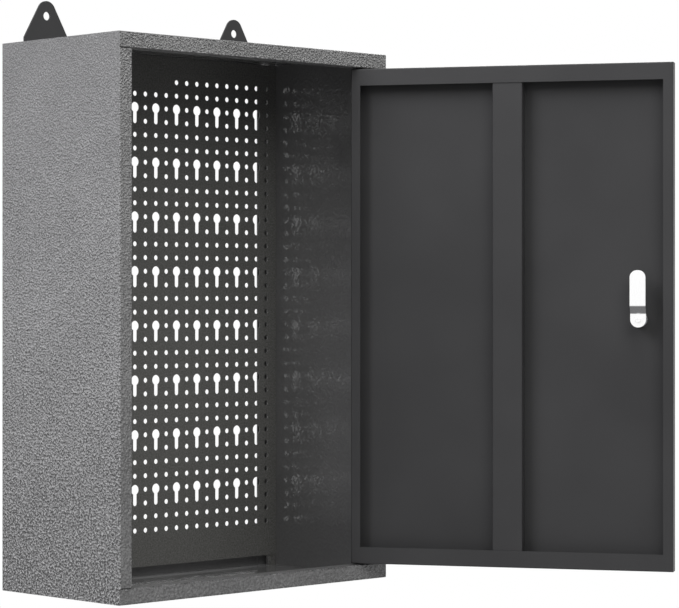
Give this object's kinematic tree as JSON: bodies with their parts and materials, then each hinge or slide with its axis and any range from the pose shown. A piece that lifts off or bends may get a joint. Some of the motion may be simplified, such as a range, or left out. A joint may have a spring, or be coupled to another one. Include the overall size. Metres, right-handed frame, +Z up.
{
  "type": "wall-mounted tool cabinet",
  "caption": "Shallow sheet-steel wall cabinet with a perforated tool panel inside, hanging ears behind the top and a lockable door hinged on the right.",
  "frame": {"origin": "midway between the two hanging holes, in the plane of the ears' rear faces", "axes": "+X to the cabinet's right, +Y into the wall, +Z up"},
  "size_m": [0.5555, 0.5039, 0.6509],
  "materials": {
    "hammer_paint": "grey hammered powder coat",
    "dark_paint": "smooth anthracite powder coat",
    "panel_paint": "fine-grained dark grey powder coat",
    "plated_steel": "zinc-plated steel",
    "nylon": "black nylon",
    "lock_metal": "nickel-plated zinc die casting",
    "bright_zinc": "bright zinc-plated steel"
  },
  "bodies": {
    "cabinet": {"left_side_panel": "hammer_paint", "right_side_panel": "hammer_paint", "top_panel": "hammer_paint", "bottom_panel": "hammer_paint", "back_panel": "panel_paint", "left_panel_angle": "panel_paint", "right_panel_angle": "panel_paint", "left_hanging_ear": "dark_paint", "right_hanging_ear": "dark_paint", "ear_rivets": "plated_steel", "upper_hinge_bush": "nylon", "lower_hinge_bush": "nylon"},
    "door": {"door_panel": "dark_paint", "door_stiffener": "dark_paint", "upper_hinge_plate": "dark_paint", "lower_hinge_plate": "dark_paint", "upper_hinge_pin": "plated_steel", "lower_hinge_pin": "plated_steel", "upper_pin_clip": "plated_steel", "lock_housing": "lock_metal", "lock_washer": "plated_steel", "lock_nut": "plated_steel"},
    "lock_core": {"lock_plug": "lock_metal", "lock_cam": "bright_zinc", "cam_washer": "bright_zinc", "cam_screw": "bright_zinc"}
  },
  "joints": [
    {"name": "door_hinge", "type": "hinge", "parent": "cabinet", "child": "door", "pos_m": [0.1705, -0.1906, -0.3342], "axis": [0, 0, 1], "range_deg": [-121, 14]},
    {"name": "lock_turn", "type": "hinge", "parent": "door", "child": "lock_core", "pos_m": [0.3362, -0.45666, -0.3372], "axis": [0.8572, 0.515, 0], "range_deg": [0, 90]}
  ]
}
